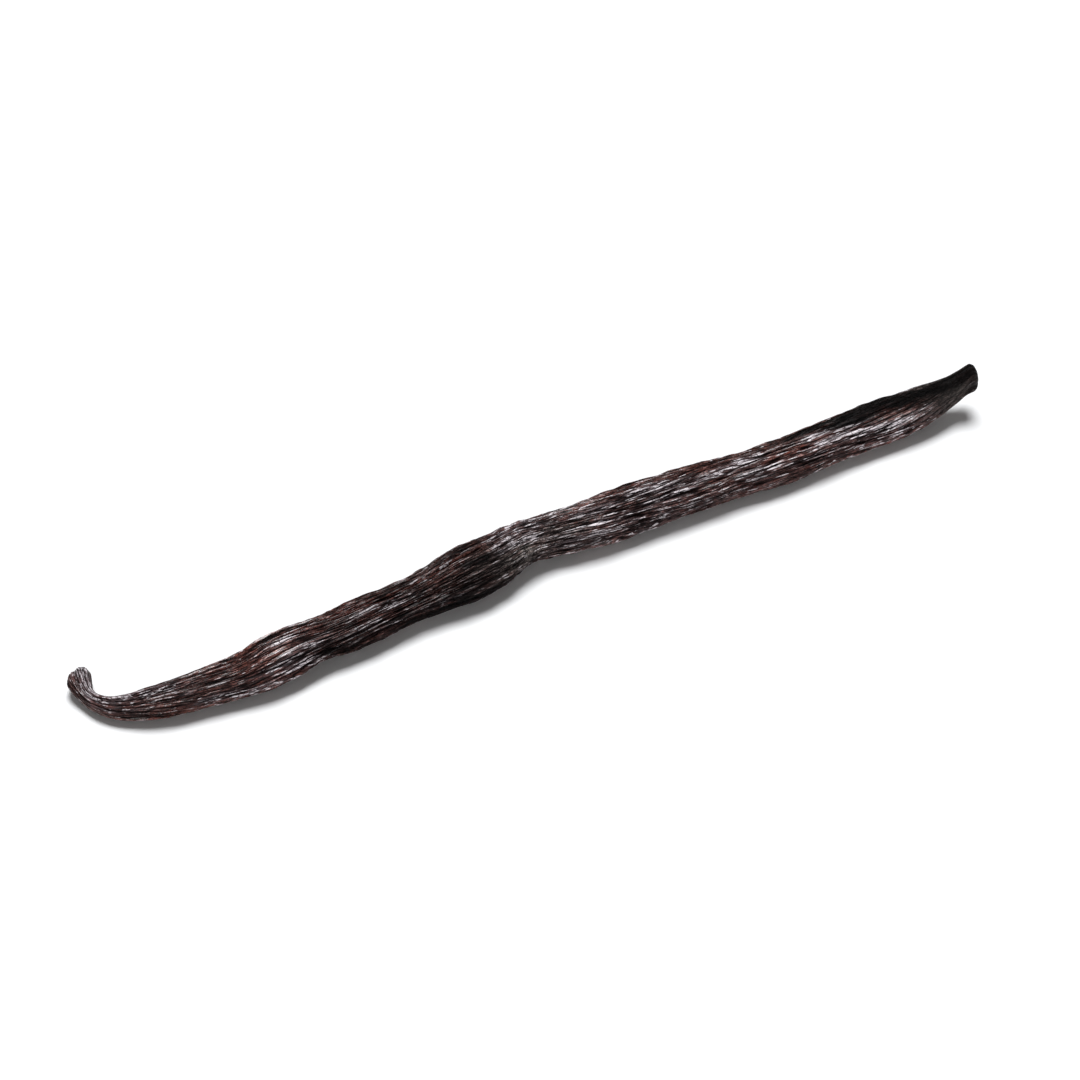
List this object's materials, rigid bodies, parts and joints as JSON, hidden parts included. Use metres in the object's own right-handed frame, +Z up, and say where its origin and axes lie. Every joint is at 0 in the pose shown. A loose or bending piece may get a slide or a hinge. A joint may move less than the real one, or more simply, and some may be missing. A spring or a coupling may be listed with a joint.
{
  "type": "vanilla pod",
  "caption": "Cured vanilla pod lying flat: a long, slim, wrinkled, slightly winding body with a hooked stem end and a blunt, lipped blossom end.",
  "frame": {"origin": "under the middle of the bounding box, on the surface that the pod rests on", "axes": "+X along the pod from the hooked stem end to the blossom end, +Y to the side that the hook turns to, +Z up"},
  "size_m": [0.1568, 0.0174, 0.0088],
  "materials": {
    "skin": "oily satin, wrinkled lengthwise, dark brown with reddish ridges"
  },
  "bodies": {
    "root": {"pod": "skin"}
  },
  "joints": []
}
